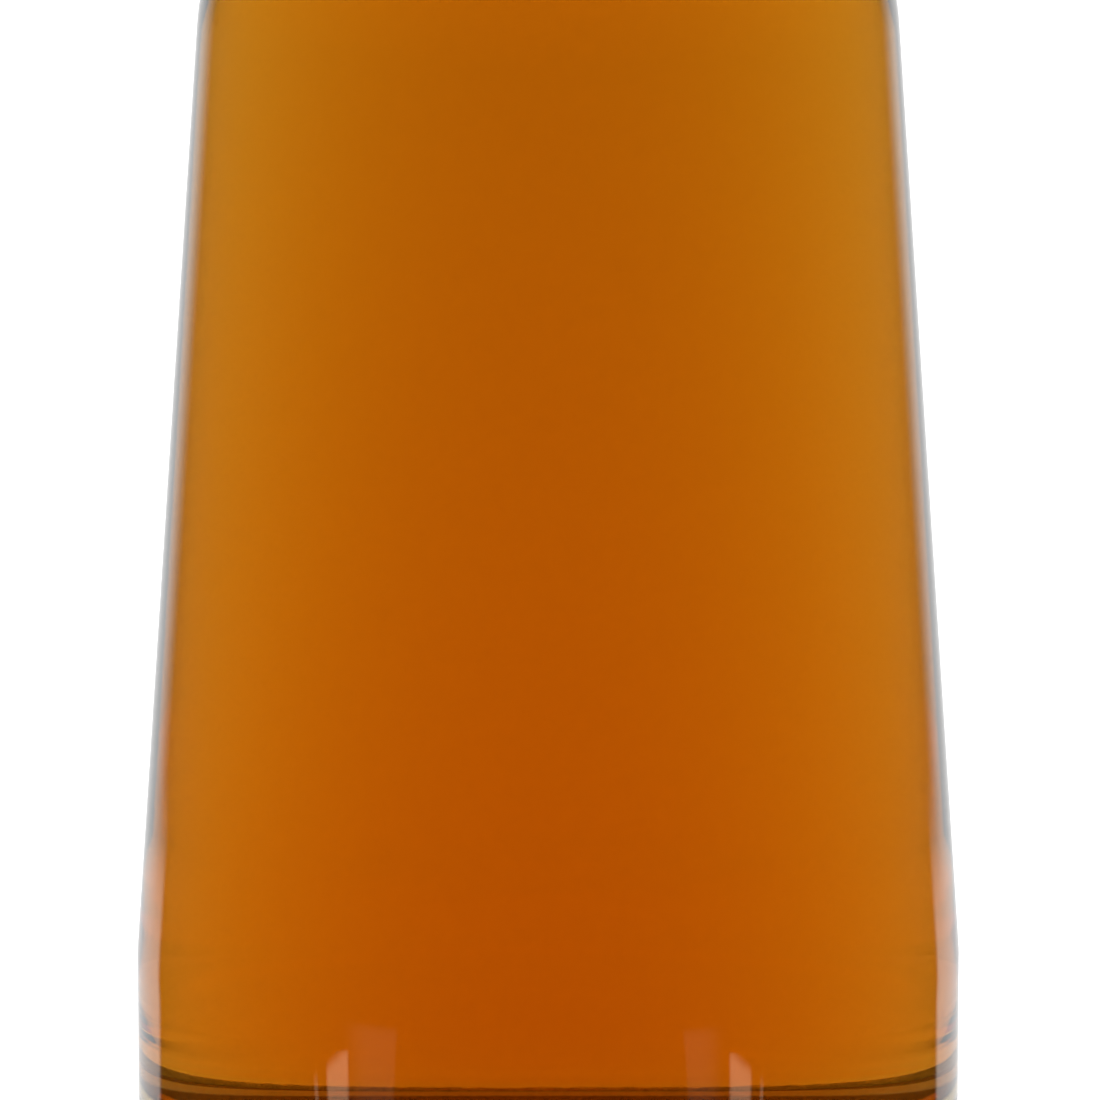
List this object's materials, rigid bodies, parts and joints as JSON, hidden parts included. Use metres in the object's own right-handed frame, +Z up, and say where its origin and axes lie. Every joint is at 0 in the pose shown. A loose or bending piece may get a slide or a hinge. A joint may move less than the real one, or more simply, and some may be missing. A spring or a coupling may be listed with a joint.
{
  "type": "stoppered tequila bottle",
  "caption": "Round clear-glass spirits bottle with an upright band, tapered body and short neck, full of amber tequila and shut with a wood-topped cork.",
  "frame": {"origin": "centre of the ring that the bottle stands on", "axes": "+Z up along the bottle's axis; the bottle is round, so +X and +Y are alike"},
  "size_m": [0.095, 0.095, 0.224],
  "materials": {
    "clear_glass": "smooth, clear, fire polished",
    "amber_drink": "clear amber spirit",
    "natural_cork": "matte cork with small dark pores",
    "turned_wood": "satin turned hardwood"
  },
  "bodies": {
    "root": {"glass_bottle": "clear_glass", "tequila": "amber_drink", "cork": "natural_cork", "stopper_head": "turned_wood"}
  },
  "joints": []
}
